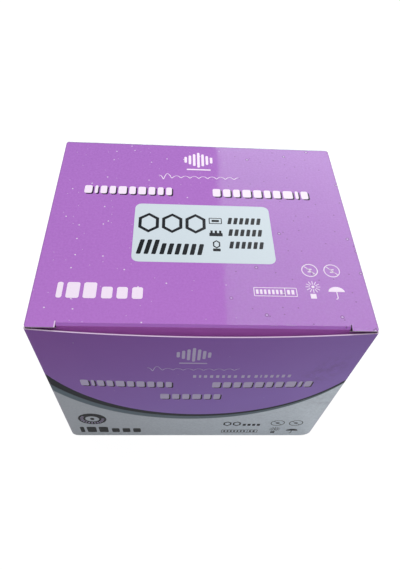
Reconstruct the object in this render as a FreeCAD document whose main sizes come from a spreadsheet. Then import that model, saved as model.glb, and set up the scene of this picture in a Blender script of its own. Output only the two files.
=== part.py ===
import FreeCAD, Part
import math
import os

import Sketcher

# A tuck-lid folding carton for hypodermic needles, with the sealed needle packs that it holds.
# Millimetres. The front faces -Y, +X runs along the front and +Z is up. The origin is the middle
# of the base, on the surface that the carton stands on.

# A length that counts as nothing where edges are picked by their place
NEGLIGIBLE = 1e-6

# Driving sizes, each with what it measures
SIZES = [
    ("board", 0.45, "thickness of the folding board"),
    ("corner_radius", 0.8, "outside radius of the four upright folds"),
    ("fold_radius", 0.6, "outside radius of the folds at the base and over the dust flaps"),
    ("base_plies", 2, "boards glued together in the base"),
    ("front_bow", 2.4, "how far the front's loose top edge bows out at its middle"),
    ("bow_start", 20.0, "height at which the front starts to bow"),
    ("seam_width", 13.0, "width of the glued seam strip, from the carton's side"),
    ("lid_gap", 0.15, "between the lid and the dust flaps"),
    ("hinge_gap", 0.1, "between the lid's rear edge and the back wall"),
    ("lid_inset", 0.3, "from the carton's side to the lid's side edge"),
    ("lid_corner", 1.2, "radius of the lid's corners"),
    ("tab_setback", 0.8, "from the front face to the edge of the lid's corner tabs"),
    ("slit_inset", 9.25, "from the carton's side to the slit beside each corner tab"),
    ("slit_width", 0.35, "width of each slit"),
    ("slit_reach", 0.6, "how far each slit runs back past the tuck fold"),
    ("tuck_setback", 2.2, "from the front face to the tuck flap's face"),
    ("tuck_radius", 1.0, "outside radius of the tuck fold"),
    ("tuck_drop", 16.0, "from the lid's top to the tuck flap's lower edge"),
    ("tuck_inset", 2.0, "from the carton's side to the tuck flap's side edge"),
    ("tuck_corner", 9.0, "radius of the tuck flap's lower corners"),
    ("shoulder_drop", 2.4, "from the lid's top to the tuck flap's shoulders"),
    ("dust_reach", 45.5, "from the carton's side to the free edge of each dust flap"),
    ("dust_gap", 0.3, "between the tuck flap and the dust flaps"),
    ("dust_corner", 6.0, "radius of each dust flap's front corner"),
    ("dust_cut", 9.0, "how far each dust flap narrows towards its free edge, at the back"),
    ("dust_room", 0.95, "between each dust flap and the back wall"),
    ("headspace", 8.05, "between the top packs and the dust flaps"),
    ("side_room", 0.95, "between the packs and each side wall"),
    ("tuck_room", 1.35, "between the tuck flap and the packs"),
    ("seam_room", 0.3, "between the packs and the seam strip"),
    ("lanes", 2, "packs end to end along the front"),
    ("rows", 5, "packs side by side from front to back"),
    ("layers", 10, "packs on top of each other"),
    ("pack_length", 58.5, "length of one sealed pack"),
    ("pack_width", 18.8, "width of one sealed pack"),
    ("pack_gap", 0.2, "between neighbouring packs in a layer"),
    ("stack_gap", 0.1, "between layers, and under the lowest"),
    ("paper", 0.15, "thickness of a pack's paper backing"),
    ("film", 0.25, "thickness of a pack's clear film"),
    ("pocket_draft", 0.5, "how far each side of the film pocket leans in"),
    ("pocket_side", 0.8, "between the needle's collar and the pocket's sides, at the backing"),
    ("pocket_end", 1.5, "between the needle and each end of the pocket"),
    ("pocket_head", 0.6, "between the needle's collar and the top of the pocket"),
    ("needle_rest", 0.1, "between the backing and the needle's collar"),
    ("collar_radius", 3.9, "outside radius of the hub's locking collar"),
    ("collar_length", 2.0, "length of the collar"),
    ("hub_radius", 3.1, "radius of the hub where it leaves the collar"),
    ("hub_length", 8.0, "length of the hub between the collar and the sheath"),
    ("nose_radius", 2.2, "radius of the hub's nose where the sheath starts"),
    ("nose_length", 6.0, "length of the hub's nose, inside the sheath"),
    ("nose_draft", 0.5, "how much slimmer the nose, the hub and the sheath get along their length"),
    ("luer_radius", 2.15, "radius of the syringe socket at its mouth"),
    ("luer_depth", 8.5, "depth of the syringe socket"),
    ("luer_taper", 0.06, "how much the socket's diameter shrinks for each millimetre of depth"),
    ("cannula_length", 13.0, "length of the needle that stands out of the hub"),
    ("cannula_radius", 0.12, "outside radius of the needle"),
    ("sheath_wall", 0.7, "thickness of the sheath"),
    ("sheath_gap", 0.1, "between the sheath and the hub"),
    ("sheath_tip", 1.0, "thickness of the sheath's closed end"),
    ("tip_room", 7.0, "between the needle's point and the sheath's closed end"),
]

# Sizes that follow from the driving ones
FITS = [
    ("base", "Size.base_plies * Size.board"),
    ("sheath_length", "Size.nose_length - Size.sheath_gap + Size.cannula_length"
                      " + Size.tip_room + Size.sheath_tip"),
    ("needle_length", "Size.collar_length + Size.hub_length + Size.sheath_gap + Fit.sheath_length"),
    ("pocket_length", "Fit.needle_length + 2 * Size.pocket_end"),
    ("pocket_width", "2 * (Size.collar_radius + Size.pocket_side)"),
    ("pocket_height", "Size.needle_rest + 2 * Size.collar_radius + Size.pocket_head"),
    ("pack_height", "Size.paper + Fit.pocket_height + Size.film"),
    ("stack_length", "Size.lanes * Size.pack_length + (Size.lanes - 1) * Size.pack_gap"),
    ("stack_depth", "Size.rows * Size.pack_width + (Size.rows - 1) * Size.pack_gap"),
    ("stack_height", "Size.layers * (Fit.pack_height + Size.stack_gap)"),
    ("side_x", "Fit.stack_length / 2 + Size.side_room + Size.board"),
    ("face_y", "(Size.tuck_setback + Size.board + Size.tuck_room + Fit.stack_depth"
               " + Size.seam_room + 2 * Size.board) / 2"),
    ("dust_under", "Fit.base + Fit.stack_height + Size.headspace"),
    ("dust_top", "Fit.dust_under + Size.board"),
    ("wall_top", "Fit.dust_top - Size.fold_radius"),
    ("lid_under", "Fit.dust_top + Size.lid_gap"),
    ("lid_top", "Fit.lid_under + Size.board"),
    ("hinge_y", "Fit.face_y - Size.board / 2"),
    ("hinge_z", "Fit.lid_top - Size.board / 2"),
    ("bow_chord", "Fit.side_x - Size.corner_radius"),
    ("bow_radius", "(Fit.bow_chord ^ 2 + Size.front_bow ^ 2) / (2 * Size.front_bow)"),
    ("inner_corner", "Size.corner_radius - Size.board"),
    ("lid_x", "Fit.side_x - Size.lid_inset"),
    ("lid_rear_y", "Fit.face_y - Size.board - Size.hinge_gap"),
    ("tab_y", "Size.tab_setback - Fit.face_y"),
    ("slit_x", "Fit.side_x - Size.slit_inset"),
    ("tuck_y", "Size.tuck_setback - Fit.face_y"),
    ("tuck_fold_y", "Fit.tuck_y + Size.tuck_radius"),
    ("tuck_fold_z", "Fit.lid_top - Size.tuck_radius"),
    ("tuck_low_z", "Fit.lid_top - Size.tuck_drop"),
    ("tuck_x", "Fit.side_x - Size.tuck_inset"),
    ("shoulder_z", "Fit.lid_top - Size.shoulder_drop"),
    ("dust_x", "Fit.side_x - Size.dust_reach"),
    ("dust_front_y", "Fit.tuck_y + Size.board + Size.dust_gap"),
    ("dust_back_y", "Fit.face_y - Size.board - Size.dust_room"),
    ("needle_z", "Size.paper + Size.needle_rest + Size.collar_radius"),
]

LEFT = 1
RIGHT = -1

doc = FreeCAD.newDocument("NeedleCarton")


def fill_sheet(name, rows):
    sheet = doc.addObject("Spreadsheet::Sheet", name)
    for number, (alias, content) in enumerate(rows, start=1):
        sheet.set(f"A{number}", alias)
        sheet.set(f"B{number}", content)
        sheet.setAlias(f"B{number}", alias)
    return sheet


size_sheet = fill_sheet("Size", [(name, str(number)) for name, number, meaning in SIZES])
fit_sheet = fill_sheet("Fit", [(name, "=" + formula) for name, formula in FITS])
for row, (name, number, meaning) in enumerate(SIZES, start=1):
    size_sheet.set(f"C{row}", meaning)
doc.recompute()


def value(formula):
    return float(fit_sheet.evalExpression(formula))


# Sketches and features

def new_sketch(body, name, plane, offset, runs):
    # runs is a closed outline: each corner's two formulas, then how the line leaves it, which is
    # straight, or an arc that turns left or right with a radius
    sketch = body.newObject("Sketcher::SketchObject", f"{body.Name}_{name}")
    origin = [o for o in body.Origin.OriginFeatures if o.Role == plane][0]
    sketch.AttachmentSupport = [(origin, "")]
    sketch.MapMode = "FlatFace"
    sketch.setExpression("AttachmentOffset.Base.z", offset)
    corners = [FreeCAD.Vector(value(run[0]), value(run[1]), 0) for run in runs]
    ends = []
    for number, run in enumerate(runs):
        start = corners[number]
        end = corners[(number + 1) % len(runs)]
        if len(run) == 2:
            geometry = sketch.addGeometry(Part.LineSegment(start, end))
            ends.append((geometry, 1, 2))
        else:
            geometry = sketch.addGeometry(arc_between(start, end, value(run[3]), run[2]))
            ends.append((geometry, 1, 2) if run[2] == LEFT else (geometry, 2, 1))
    for number, run in enumerate(runs):
        geometry, first, last = ends[number]
        before, unused, meeting = ends[number - 1]
        sketch.addConstraint(Sketcher.Constraint("Coincident", before, meeting, geometry, first))
        bind_sketch(sketch, f"x{number}", "DistanceX", (-1, 1, geometry, first), run[0])
        bind_sketch(sketch, f"y{number}", "DistanceY", (-1, 1, geometry, first), run[1])
        if len(run) > 2:
            bind_sketch(sketch, f"radius{number}", "Radius", (geometry,), run[3])
    return sketch


def bind_sketch(sketch, name, kind, items, formula):
    index = sketch.addConstraint(Sketcher.Constraint(kind, *items, value(formula)))
    sketch.renameConstraint(index, name)
    sketch.setExpression(f"Constraints.{name}", formula)


def arc_between(start, end, radius, turn):
    along = end - start
    middle = (start + end) / 2
    rise = math.sqrt(max(radius ** 2 - (along.Length / 2) ** 2, 0.0))
    aside = FreeCAD.Vector(-along.y, along.x, 0).normalize() * rise * turn
    centre = middle + aside
    first, last = (start, end) if turn == LEFT else (end, start)
    circle = Part.Circle(centre, FreeCAD.Vector(0, 0, 1), radius)
    angles = [math.atan2((point - centre).y, (point - centre).x) for point in (first, last)]
    return Part.ArcOfCircle(circle, angles[0], angles[1])


def pad(body, name, sketch, length, symmetric=False):
    feature = body.newObject("PartDesign::Pad", f"{body.Name}_{name}")
    feature.Profile = sketch
    feature.setExpression("Length", length)
    if symmetric:
        feature.SideType = "Symmetric"
    return feature


def loft(body, name, kind, sketches):
    feature = body.newObject(f"PartDesign::{kind}Loft", f"{body.Name}_{name}")
    feature.Profile = sketches[0]
    feature.Sections = sketches[1:]
    feature.Ruled = True
    return feature


def fillet(body, name, feature, radius, wanted):
    doc.recompute()
    edges = [f"Edge{number}" for number, edge in enumerate(feature.Shape.Edges, start=1) if wanted(edge)]
    rounding = body.newObject("PartDesign::Fillet", f"{body.Name}_{name}")
    rounding.Base = (feature, edges)
    rounding.setExpression("Radius", radius)
    return rounding


# The folded blank: four walls, a glued base, a seam strip, two dust flaps and the back wall's
# rounded top, which the lid turns on

def wall_outline(x, y, corner, bowed):
    front = (f"-{x} + {corner}", f"-{y}")
    if bowed:
        front = front + (LEFT, "Fit.bow_radius")
    return [
        front,
        (f"{x} - {corner}", f"-{y}", LEFT, corner),
        (x, f"-{y} + {corner}"),
        (x, f"{y} - {corner}", LEFT, corner),
        (f"{x} - {corner}", y),
        (f"-{x} + {corner}", y, LEFT, corner),
        (f"-{x}", f"{y} - {corner}"),
        (f"-{x}", f"-{y} + {corner}", LEFT, corner),
    ]


def wall_sections(body, name, floor, sizes):
    return [
        new_sketch(body, f"{name}Floor", "XY_Plane", floor, wall_outline(*sizes, False)),
        new_sketch(body, f"{name}Middle", "XY_Plane", "Size.bow_start", wall_outline(*sizes, False)),
        new_sketch(body, f"{name}Top", "XY_Plane", "Fit.wall_top", wall_outline(*sizes, True)),
    ]


def make_carton_body():
    body = doc.addObject("PartDesign::Body", "CartonBody")
    body.Label = "carton_body"
    outside = ("Fit.side_x", "Fit.face_y", "Size.corner_radius")
    inside = ("(Fit.side_x - Size.board)", "(Fit.face_y - Size.board)", "Fit.inner_corner")
    block = loft(body, "Block", "Additive", wall_sections(body, "Outer", "0", outside))
    fillet(body, "BaseFolds", block, "Size.fold_radius", lambda edge: edge.BoundBox.ZMax < NEGLIGIBLE)
    loft(body, "Inside", "Subtractive", wall_sections(body, "Inner", "Fit.base", inside))

    dust_fold = new_sketch(body, "DustFoldOutline", "XZ_Plane", "-Fit.dust_back_y", [
        ("-Fit.side_x", "Fit.wall_top"),
        ("-Fit.side_x + Size.board", "Fit.wall_top", RIGHT, "(Size.fold_radius - Size.board)"),
        ("-Fit.side_x + Size.fold_radius", "Fit.dust_under"),
        ("-Fit.side_x + Size.fold_radius", "Fit.dust_top", LEFT, "Size.fold_radius"),
    ])
    fold = pad(body, "DustFold", dust_fold, "Fit.dust_back_y - Fit.dust_front_y")
    dust_plan = new_sketch(body, "DustFlapOutline", "XY_Plane", "Fit.dust_under", [
        ("-Fit.side_x + Size.fold_radius", "Fit.dust_front_y"),
        ("-Fit.dust_x - Size.dust_corner", "Fit.dust_front_y", LEFT, "Size.dust_corner"),
        ("-Fit.dust_x", "Fit.dust_front_y + Size.dust_corner"),
        ("-Fit.dust_x", "Fit.dust_back_y - Size.dust_cut"),
        ("-Fit.side_x + Size.fold_radius", "Fit.dust_back_y"),
    ])
    flap = pad(body, "DustFlap", dust_plan, "Size.board")
    mirror = body.newObject("PartDesign::Mirrored", "CartonBody_OtherDustFlap")
    mirror.Originals = [fold, flap]
    mirror.MirrorPlane = ([o for o in body.Origin.OriginFeatures if o.Role == "YZ_Plane"][0], [""])
    body.Tip = mirror

    bead = new_sketch(body, "BackTopOutline", "YZ_Plane", "0", [
        ("Fit.face_y - Size.board", "Fit.wall_top"),
        ("Fit.face_y", "Fit.wall_top"),
        ("Fit.face_y", "Fit.hinge_z", LEFT, "Size.board / 2"),
        ("Fit.hinge_y", "Fit.lid_top", LEFT, "Size.board / 2"),
        ("Fit.face_y - Size.board", "Fit.hinge_z"),
    ])
    pad(body, "BackTop", bead, "2 * Fit.bow_chord", symmetric=True)

    strip = new_sketch(body, "SeamOutline", "XY_Plane", "Fit.base", [
        ("-Fit.side_x + Size.board", "Fit.face_y - 2 * Size.board"),
        ("-Fit.side_x + Size.seam_width", "Fit.face_y - 2 * Size.board"),
        ("-Fit.side_x + Size.seam_width", "Fit.face_y - Size.board"),
        ("-Fit.side_x + Size.board", "Fit.face_y - Size.board"),
    ])
    pad(body, "Seam", strip, "Fit.wall_top - Fit.base")
    return body


# The lid: the top panel with its two corner tabs, and the tuck flap folded down between the slits

def make_carton_lid():
    body = doc.addObject("PartDesign::Body", "CartonLid")
    body.Label = "carton_lid"
    panel_outline = new_sketch(body, "PanelOutline", "XY_Plane", "Fit.lid_under", [
        ("-Fit.lid_x", "Fit.tab_y"),
        ("-Fit.slit_x - Size.slit_width", "Fit.tab_y"),
        ("-Fit.slit_x - Size.slit_width", "Fit.tuck_fold_y + Size.slit_reach"),
        ("-Fit.slit_x", "Fit.tuck_fold_y + Size.slit_reach"),
        ("-Fit.slit_x", "Fit.tuck_fold_y"),
        ("Fit.slit_x", "Fit.tuck_fold_y"),
        ("Fit.slit_x", "Fit.tuck_fold_y + Size.slit_reach"),
        ("Fit.slit_x + Size.slit_width", "Fit.tuck_fold_y + Size.slit_reach"),
        ("Fit.slit_x + Size.slit_width", "Fit.tab_y"),
        ("Fit.lid_x", "Fit.tab_y"),
        ("Fit.lid_x", "Fit.lid_rear_y"),
        ("-Fit.lid_x", "Fit.lid_rear_y"),
    ])
    panel = pad(body, "Panel", panel_outline, "Size.board")
    side = value("Fit.lid_x")
    fillet(body, "PanelCorners", panel, "Size.lid_corner",
           lambda edge: is_upright(edge) and abs(abs(edge.CenterOfMass.x) - side) < NEGLIGIBLE)
    fold_outline = new_sketch(body, "TuckFoldOutline", "YZ_Plane", "0", [
        ("Fit.tuck_fold_y", "Fit.lid_top", LEFT, "Size.tuck_radius"),
        ("Fit.tuck_y", "Fit.tuck_fold_z"),
        ("Fit.tuck_y + Size.board", "Fit.tuck_fold_z", RIGHT, "(Size.tuck_radius - Size.board)"),
        ("Fit.tuck_fold_y", "Fit.lid_under"),
    ])
    pad(body, "TuckFold", fold_outline, "2 * Fit.slit_x", symmetric=True)
    flap_outline = new_sketch(body, "TuckFlapOutline", "XZ_Plane", "-(Fit.tuck_y + Size.board)", [
        ("-Fit.tuck_x + Size.tuck_corner", "Fit.tuck_low_z"),
        ("Fit.tuck_x - Size.tuck_corner", "Fit.tuck_low_z", LEFT, "Size.tuck_corner"),
        ("Fit.tuck_x", "Fit.tuck_low_z + Size.tuck_corner"),
        ("Fit.tuck_x", "Fit.shoulder_z"),
        ("Fit.slit_x", "Fit.shoulder_z"),
        ("Fit.slit_x", "Fit.tuck_fold_z"),
        ("-Fit.slit_x", "Fit.tuck_fold_z"),
        ("-Fit.slit_x", "Fit.shoulder_z"),
        ("-Fit.tuck_x", "Fit.shoulder_z"),
        ("-Fit.tuck_x", "Fit.tuck_low_z + Size.tuck_corner", LEFT, "Size.tuck_corner"),
    ])
    pad(body, "TuckFlap", flap_outline, "Size.board")
    return body


def is_upright(edge):
    box = edge.BoundBox
    return box.XLength < NEGLIGIBLE and box.YLength < NEGLIGIBLE


# The pieces of one pack. The needle's own pieces stand on the collar's rear face, point up

def primitive(kind, name, **sizes):
    item = doc.addObject(f"Part::{kind}", name)
    for key, formula in sizes.items():
        item.setExpression(key, formula)
    return item


def turned(name, low_radius, high_radius, length, start="0"):
    item = primitive("Cone", name, Radius1=low_radius, Radius2=high_radius, Height=length)
    item.setExpression("Placement.Base.z", start)
    return item


def cut(name, base, tool):
    item = doc.addObject("Part::Cut", name)
    item.Base = base
    item.Tool = tool
    return item


def fuse(name, shapes):
    item = doc.addObject("Part::MultiFuse", name)
    item.Shapes = shapes
    item.Refine = True
    return item


def pocket_block(name, wall, floor, height):
    # a tapered block over the needle, wider than the pocket's inside by wall on every side
    half_length = f"(Fit.pocket_length / 2 + {wall})"
    half_width = f"(Fit.pocket_width / 2 + {wall})"
    block = primitive(
        "Wedge", name,
        Xmin=f"-{half_length}", Xmax=half_length, Zmin=f"-{half_width}", Zmax=half_width,
        X2min=f"-{half_length} + Size.pocket_draft", X2max=f"{half_length} - Size.pocket_draft",
        Z2min=f"-{half_width} + Size.pocket_draft", Z2max=f"{half_width} - Size.pocket_draft",
        Ymin="0", Ymax=height)
    block.Placement = FreeCAD.Placement(FreeCAD.Vector(), FreeCAD.Rotation(FreeCAD.Vector(1, 0, 0), 90))
    block.setExpression("Placement.Base.z", floor)
    return block


def make_sheet_box(name, floor, thickness):
    box = primitive("Box", name, Length="Size.pack_length", Width="Size.pack_width", Height=thickness)
    box.setExpression("Placement.Base.x", "-Size.pack_length / 2")
    box.setExpression("Placement.Base.y", "-Size.pack_width / 2")
    box.setExpression("Placement.Base.z", floor)
    return box


def make_film():
    flange = make_sheet_box("FilmFlange", "Size.paper", "Size.film")
    outer = pocket_block("PocketOutside", "Size.film", "Size.paper", "Fit.pocket_height + Size.film")
    inner = pocket_block("PocketInside", "0", "Size.paper", "Fit.pocket_height")
    return cut("Film", fuse("FilmBlock", [flange, outer]), inner)


def make_hub():
    collar = primitive("Cylinder", "Collar", Radius="Size.collar_radius", Height="Size.collar_length")
    hub = turned("HubBody", "Size.hub_radius", "Size.hub_radius - Size.nose_draft", "Size.hub_length",
                 "Size.collar_length")
    nose = turned("Nose", "Size.nose_radius", "Size.nose_radius - Size.nose_draft", "Size.nose_length",
                  "Size.collar_length + Size.hub_length")
    socket = turned("Socket", "Size.luer_radius",
                    "Size.luer_radius - Size.luer_taper * Size.luer_depth / 2", "Size.luer_depth")
    return cut("Hub", fuse("HubBlock", [collar, hub, nose]), socket)


def make_sheath():
    start = "Size.collar_length + Size.hub_length + Size.sheath_gap"
    bore = "(Size.nose_radius + Size.sheath_gap)"
    outer = turned("SheathOutside", f"{bore} + Size.sheath_wall",
                   f"{bore} + Size.sheath_wall - Size.nose_draft", "Fit.sheath_length", start)
    inner = turned("SheathInside", bore, f"{bore} - Size.nose_draft",
                   "Fit.sheath_length - Size.sheath_tip", start)
    return cut("Sheath", outer, inner)


def make_cannula():
    cannula = primitive("Cylinder", "Cannula", Radius="Size.cannula_radius", Height="Size.cannula_length")
    cannula.setExpression("Placement.Base.z", "Size.collar_length + Size.hub_length + Size.nose_length")
    return cannula


# The load: each layer of packs gives one node for each kind of piece

def pack_centres():
    step_x = value("Size.pack_length + Size.pack_gap")
    step_y = value("Size.pack_width + Size.pack_gap")
    first_x = value("(Size.pack_length - Fit.stack_length) / 2")
    first_y = value("Fit.tuck_y + Size.board + Size.tuck_room + Size.pack_width / 2")
    return [FreeCAD.Vector(first_x + lane * step_x, first_y + row * step_y, 0)
            for lane in range(round(value("Size.lanes")))
            for row in range(round(value("Size.rows")))]


def lay_out(piece, name, height, seat):
    # seat places the piece in its pack, before the pack goes to its own place in the layer
    copies = []
    for centre in pack_centres():
        copy = piece.Shape.copy()
        copy.Placement = FreeCAD.Placement(centre, FreeCAD.Rotation()) * seat * piece.Placement
        copies.append(copy)
    node = doc.addObject("Part::Feature", name.title().replace("_", ""))
    node.Shape = Part.makeCompound(copies)
    node.Label = name
    node.Placement = FreeCAD.Placement(FreeCAD.Vector(0, 0, height), FreeCAD.Rotation())
    return node


def make_load():
    flat = FreeCAD.Placement()
    needle_start = FreeCAD.Vector(-value("Fit.needle_length") / 2, 0, value("Fit.needle_z"))
    lying = FreeCAD.Placement(needle_start, FreeCAD.Rotation(FreeCAD.Vector(0, 1, 0), 90))
    pieces = [
        ("backing_paper", make_sheet_box("Paper", "0", "Size.paper"), flat),
        ("film_pocket", make_film(), flat),
        ("needle_hub", make_hub(), lying),
        ("needle_sheath", make_sheath(), lying),
        ("cannula", make_cannula(), lying),
    ]
    doc.recompute()
    nodes = []
    for layer in range(round(value("Size.layers"))):
        height = value(f"Fit.base + Size.stack_gap + {layer} * (Fit.pack_height + Size.stack_gap)")
        for kind, piece, seat in pieces:
            nodes.append(lay_out(piece, f"{kind}_layer_{layer + 1:02d}", height, seat))
    return nodes


def check_document(nodes):
    doc.recompute()
    failed = [item.Name for item in doc.Objects if {"Invalid", "Error"} & set(item.State)]
    broken = [node.Label for node in nodes if node.Shape.isNull() or not node.Shape.isValid()]
    if failed or broken:
        raise RuntimeError(f"failed objects {failed}, broken shapes {broken}")


def write_nodes(nodes):
    os.makedirs("parts", exist_ok=True)
    for node in nodes:
        node.Shape.exportStep(f"parts/{node.Label}.step")
        box = node.Shape.BoundBox
        print(f"{node.Label}: {len(node.Shape.Solids)} solids, {node.Shape.Volume:.1f} mm3, "
              f"{box.XLength:.2f} x {box.YLength:.2f} x {box.ZLength:.2f}")


all_nodes = [make_carton_body(), make_carton_lid()] + make_load()
check_document(all_nodes)
write_nodes(all_nodes)
print("carton", *[round(value(formula), 3) for formula in ("2 * Fit.side_x", "2 * Fit.face_y", "Fit.lid_top")])
print("hinge", *[round(value(formula), 3) for formula in ("Fit.hinge_y", "Fit.hinge_z")])
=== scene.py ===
import math

import bmesh
import bpy
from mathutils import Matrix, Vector


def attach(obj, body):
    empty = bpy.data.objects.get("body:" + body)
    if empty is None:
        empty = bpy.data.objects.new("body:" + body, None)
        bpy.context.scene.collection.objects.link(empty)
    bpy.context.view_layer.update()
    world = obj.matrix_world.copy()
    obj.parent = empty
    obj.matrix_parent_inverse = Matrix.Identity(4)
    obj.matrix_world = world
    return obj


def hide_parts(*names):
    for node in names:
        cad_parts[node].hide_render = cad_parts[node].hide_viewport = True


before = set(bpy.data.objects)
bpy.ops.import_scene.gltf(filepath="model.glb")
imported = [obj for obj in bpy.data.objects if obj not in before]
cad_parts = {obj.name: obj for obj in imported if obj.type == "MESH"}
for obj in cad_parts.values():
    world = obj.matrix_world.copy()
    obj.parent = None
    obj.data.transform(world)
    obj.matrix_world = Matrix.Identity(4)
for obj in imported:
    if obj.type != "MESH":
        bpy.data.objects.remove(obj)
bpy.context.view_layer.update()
print("frame loaded:", len(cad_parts), "nodes")

# A printed tuck-lid carton of sealed needle packs. Shapes are worked out in millimetres and
# made into metres when they become meshes. The front faces -Y and the lid is the top.

mm = 0.001


def newObject(name, data):
    made = bpy.data.objects.new(name, data)
    bpy.context.scene.collection.objects.link(made)
    return made


# camera, as the photograph sees the carton from above its front edge

viewpoint = {
    "place": (-0.01096, -0.13309, 0.22968),
    "turn": (35.154, -3.2018, -1.1718),  # degrees
    "lens": 29.2,
    "longSide": 36.0,  # of the film that the lens is stated for
    "shift": (0.0011, 0.0434),
    "sight": (0.005, 50.0),  # nearest and farthest
}

cameraData = bpy.data.cameras.new("photoCamera")
cameraData.lens = viewpoint["lens"]
cameraData.sensor_width = viewpoint["longSide"]
cameraData.shift_x, cameraData.shift_y = viewpoint["shift"]
cameraData.clip_start, cameraData.clip_end = viewpoint["sight"]
camera = newObject("photoCamera", cameraData)
camera.location = viewpoint["place"]
camera.rotation_euler = [math.radians(angle) for angle in viewpoint["turn"]]
bpy.context.scene.camera = camera
print("camera placed")


# node trees

class Wire:
    # one output of a node: sums on wires add Math nodes, and node() adds any other kind

    def __init__(self, tree, socket=None):
        self.tree = tree
        self.socket = socket

    def node(self, kind, sockets=None, out=0, **settings):
        # the settings come first, because some of them change which sockets there are
        made = self.tree.nodes.new(kind)
        for name, setting in settings.items():
            setattr(made, name, setting)
        for name, content in (sockets or {}).items():
            if isinstance(content, Wire):
                self.tree.links.new(content.socket, made.inputs[name])
            else:
                made.inputs[name].default_value = content
        return Wire(self.tree, made.outputs[out] if len(made.outputs) else None)

    def beside(self, name):
        # another output of the same node
        return Wire(self.tree, self.socket.node.outputs[name])

    def maths(self, operation, *values, clamp=False):
        return self.node("ShaderNodeMath", dict(enumerate(values)), operation=operation, use_clamp=clamp)

    def operator(operation):
        return lambda self, other: self.maths(operation, self, other)

    __add__ = __radd__ = operator("ADD")
    __sub__ = operator("SUBTRACT")
    __mul__ = __rmul__ = operator("MULTIPLY")
    __truediv__ = operator("DIVIDE")
    __pow__ = operator("POWER")
    __lt__ = operator("LESS_THAN")
    __gt__ = operator("GREATER_THAN")

    def __rsub__(self, other):
        return self.maths("SUBTRACT", other, self)

    def __abs__(self):
        return self.maths("ABSOLUTE", self)

    def clamped(self):
        return self.maths("ADD", self, 0, clamp=True)

    def ramp(self, start, length):
        # 0 up to the start, and 1 from a length further on
        return ((self - start) / length).clamped()

    def hardened(self, contrast=3, cut=1):
        # the stronger patches of a noise, and 0 between them
        return (self * contrast - cut).clamped()

    def mix(self, low, high):
        # low where the wire is 0, high where it is 1, both colours
        return self.node("ShaderNodeMix", {0: self, 6: low, 7: high}, 2, data_type="RGBA", clamp_factor=True)


def emptyTree(owner):
    # a start in the node tree of a material or of the world
    owner.use_nodes = True
    owner.node_tree.nodes.clear()
    return Wire(owner.node_tree)


def paint(red, green, blue):
    # a colour as it looks on a screen, 0 to 255, made linear for the shader
    levels = [red / 255, green / 255, blue / 255]
    return (*[level / 12.92 if level < 0.04 else ((level + 0.055) / 1.055) ** 2.4 for level in levels], 1)


def dimmed(colour, share):
    return (*[channel * share for channel in colour[:3]], 1)


class Finish:
    # a material, and the patterns that feed its sockets, with sizes in millimetres

    def __init__(self, name):
        self.material = bpy.data.materials.new(name)
        self.start = emptyTree(self.material)
        self.place = self.start.node("ShaderNodeTexCoord", out="Object")

    def noise(self, size, detail=2, roughness=0.5, distortion=0):
        # size is the width of one blotch
        return self.start.node("ShaderNodeTexNoise", {
            "Vector": self.place, "Scale": 1 / (size * mm), "Detail": detail, "Roughness": roughness,
            "Distortion": distortion})

    def dots(self, size, radius, share, place=None, unit=mm, dimensions="2D"):
        # sparse round dots, 1 on a dot: share of the cells hold one, 2D lays them on the first two axes
        sockets = {"Vector": place or self.place, "Scale": 1 / (size * unit)}
        cells = self.start.node("ShaderNodeTexVoronoi", sockets, voronoi_dimensions=dimensions)
        chosen = self.start.node("ShaderNodeSeparateColor", {"Color": cells.beside("Color")})
        return (cells < radius / size) * (chosen < share)

    def bumps(self, *layers):
        # layers are (height wire, depth, strength), stacked one on the other
        normal = None
        for height, depth, strength in layers:
            sockets = {"Height": height, "Distance": depth * mm, "Strength": strength}
            if normal:
                sockets["Normal"] = normal
            normal = self.start.node("ShaderNodeBump", sockets)
        return normal

    def close(self, colour, roughness, more):
        sockets = {"Base Color": colour, "Roughness": roughness, **more}
        shader = self.start.node("ShaderNodeBsdfPrincipled", sockets)
        shader.node("ShaderNodeOutputMaterial", {"Surface": shader})
        return self.material


def makeFinish(name, colours, grain, roughness, relief=None, layer=None, more=None):
    # one noise drives colour, roughness (least, more) and relief (depth, strength) of a surface
    finish = Finish(name)
    cloud = finish.noise(*grain)
    colour = cloud.mix(*colours)
    if layer:
        share, over = layer(finish)
        colour = share.mix(colour, over)
    more = dict(more or {})
    if relief:
        more["Normal"] = finish.bumps((cloud, *relief))
    return finish.close(colour, roughness[0] + cloud * roughness[1], more)


# board finishes

boardPrint = {
    "speckAndDropGlint": paint(238, 228, 244),
    "smudgeAndDropShade": paint(84, 52, 104),
    "gloss": 0.1,
    "cloud": 16,  # width of the ink's soft blotches
    "waves": (26, 1, 0.4, 0.3),
    "waveRelief": (0.07, 1),
    "fibre": 0.9,
    "fibreRelief": (0.002, 0.5),
}


def filmBumps(finish):
    # the laminate: fine fibre under it, and the board's slow waves
    return finish.bumps((finish.noise(*boardPrint["waves"]), *boardPrint["waveRelief"]),
                        (finish.noise(boardPrint["fibre"]), *boardPrint["fibreRelief"]))


# the uncoated side is greyish and fibrous, the cut edges are pale with the ink's tint at the rim
bareBoard = makeFinish(
    "bareBoard", colours=(paint(196, 192, 184), paint(222, 219, 212)), grain=(0.7, 5, 0.7, 1.2),
    roughness=(0.82, 0.1), relief=(0.03, 0.7),
    layer=lambda finish: (finish.dots(1.6, 0.3, 0.5, dimensions="3D") * 0.5, paint(140, 132, 120)))
cutEdge = makeFinish(
    "cutEdge", colours=(paint(196, 168, 204), paint(232, 214, 234)), grain=(0.25, 4, 0.7),
    roughness=(0.75, 0.15), relief=(0.02, 0.6),
    layer=lambda finish: (finish.noise(5, 3) * 0.6, paint(216, 192, 220)))
print("board finishes made")


# mesh helpers

def vertex(mesh, place):
    return mesh.verts.new(Vector(place) * mm)


def direction(degrees):
    angle = math.radians(degrees)
    return math.cos(angle), math.sin(angle)


def circle(count):
    return [direction(360 * number / count) for number in range(count)]


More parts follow.
